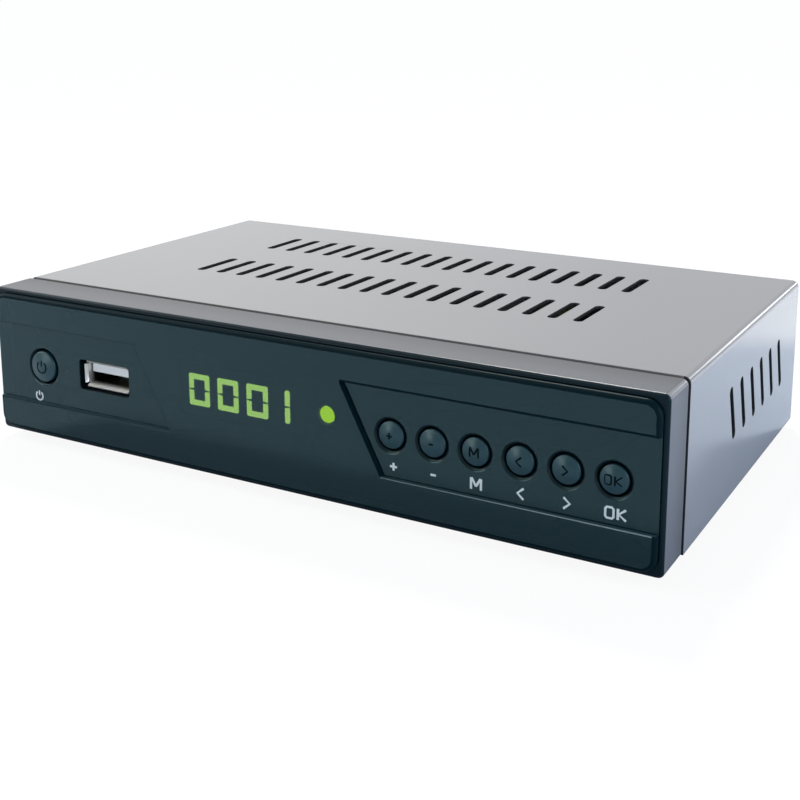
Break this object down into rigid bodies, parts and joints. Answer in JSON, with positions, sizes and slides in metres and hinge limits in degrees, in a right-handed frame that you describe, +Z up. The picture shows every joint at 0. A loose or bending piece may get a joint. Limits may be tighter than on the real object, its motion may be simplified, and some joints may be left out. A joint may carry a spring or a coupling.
{
  "type": "television receiver",
  "caption": "Low set-top television receiver: slotted grey steel case, dark glossy front with recessed button and port fields, green digit display, push buttons and rear sockets.",
  "frame": {"origin": "on the floor under the feet, at the middle of the whole part's width and depth", "axes": "+X to the viewer's right, +Y from the front to the rear, +Z up"},
  "size_m": [0.156, 0.106, 0.035],
  "materials": {
    "cover_paint": "satin grey paint on folded steel",
    "chassis_steel": "zinc-coated folded steel",
    "bezel_plastic": "satin moulded plastic",
    "smoked_plate": "polished smoked plastic",
    "button_plastic": "satin moulded plastic",
    "actuator_plastic": "moulded plastic",
    "foot_rubber": "matt rubber",
    "black_plastic": "moulded plastic",
    "board_laminate": "glass-fibre board with green lacquer",
    "screw_steel": "zinc-plated steel",
    "lamp_green": "lit green",
    "port_steel": "nickel-plated stampings",
    "white_plastic": "moulded plastic",
    "contact_gold": "gold-plated",
    "standoff_brass": "turned brass",
    "socket_nickel": "nickel-plated brass",
    "yellow_plastic": "moulded plastic",
    "orange_plastic": "moulded plastic",
    "sink_aluminium": "black anodised extrusion",
    "capacitor_sleeve": "shrunk plastic sleeve"
  },
  "bodies": {
    "case": {"top_cover": "cover_paint", "chassis_base": "chassis_steel", "front_bezel": "bezel_plastic", "front_plate": "smoked_plate", "rubber_feet": "foot_rubber", "switch_bodies": "black_plastic", "front_board": "board_laminate", "front_board_screws": "screw_steel", "display_body": "black_plastic", "display_segments": "lamp_green", "display_spacer": "black_plastic", "status_led": "lamp_green", "led_spacer": "black_plastic", "ir_receiver": "black_plastic", "data_port_shell": "port_steel", "data_port_tongue": "white_plastic", "data_port_contacts": "contact_gold", "main_board": "board_laminate", "board_standoffs": "standoff_brass", "main_board_screws": "screw_steel", "board_link": "black_plastic", "tuner_can": "port_steel", "antenna_in": "socket_nickel", "antenna_out": "socket_nickel", "antenna_insulators": "white_plastic", "antenna_nuts": "socket_nickel", "antenna_washers": "socket_nickel", "video_port_shell": "port_steel", "video_port_tongue": "black_plastic", "av_jack": "yellow_plastic", "audio_jack_body": "orange_plastic", "audio_jack_sleeve": "contact_gold", "power_jack_body": "black_plastic", "power_jack_pin": "port_steel", "processor": "black_plastic", "heat_sink": "sink_aluminium", "memory_chips": "black_plastic", "capacitors": "capacitor_sleeve", "inductors": "black_plastic", "crystal": "port_steel", "cover_screws": "screw_steel"},
    "power_key": {"power_button": "button_plastic", "power_actuator": "actuator_plastic"},
    "plus_key": {"plus_button": "button_plastic", "plus_actuator": "actuator_plastic"},
    "minus_key": {"minus_button": "button_plastic", "minus_actuator": "actuator_plastic"},
    "menu_key": {"menu_button": "button_plastic", "menu_actuator": "actuator_plastic"},
    "left_key": {"left_button": "button_plastic", "left_actuator": "actuator_plastic"},
    "right_key": {"right_button": "button_plastic", "right_actuator": "actuator_plastic"},
    "ok_key": {"ok_button": "button_plastic", "ok_actuator": "actuator_plastic"}
  },
  "joints": [
    {"name": "power_press", "type": "slide", "parent": "case", "child": "power_key", "axis": [0, 1, 0], "range_m": [0, 0.0006], "stiffness_N_per_m": 1500, "springref_m": -0.0004},
    {"name": "plus_press", "type": "slide", "parent": "case", "child": "plus_key", "axis": [0, 1, 0], "range_m": [0, 0.0006], "stiffness_N_per_m": 1500, "springref_m": -0.0004},
    {"name": "minus_press", "type": "slide", "parent": "case", "child": "minus_key", "axis": [0, 1, 0], "range_m": [0, 0.0006], "stiffness_N_per_m": 1500, "springref_m": -0.0004},
    {"name": "menu_press", "type": "slide", "parent": "case", "child": "menu_key", "axis": [0, 1, 0], "range_m": [0, 0.0006], "stiffness_N_per_m": 1500, "springref_m": -0.0004},
    {"name": "left_press", "type": "slide", "parent": "case", "child": "left_key", "axis": [0, 1, 0], "range_m": [0, 0.0006], "stiffness_N_per_m": 1500, "springref_m": -0.0004},
    {"name": "right_press", "type": "slide", "parent": "case", "child": "right_key", "axis": [0, 1, 0], "range_m": [0, 0.0006], "stiffness_N_per_m": 1500, "springref_m": -0.0004},
    {"name": "ok_press", "type": "slide", "parent": "case", "child": "ok_key", "axis": [0, 1, 0], "range_m": [0, 0.0006], "stiffness_N_per_m": 1500, "springref_m": -0.0004}
  ]
}
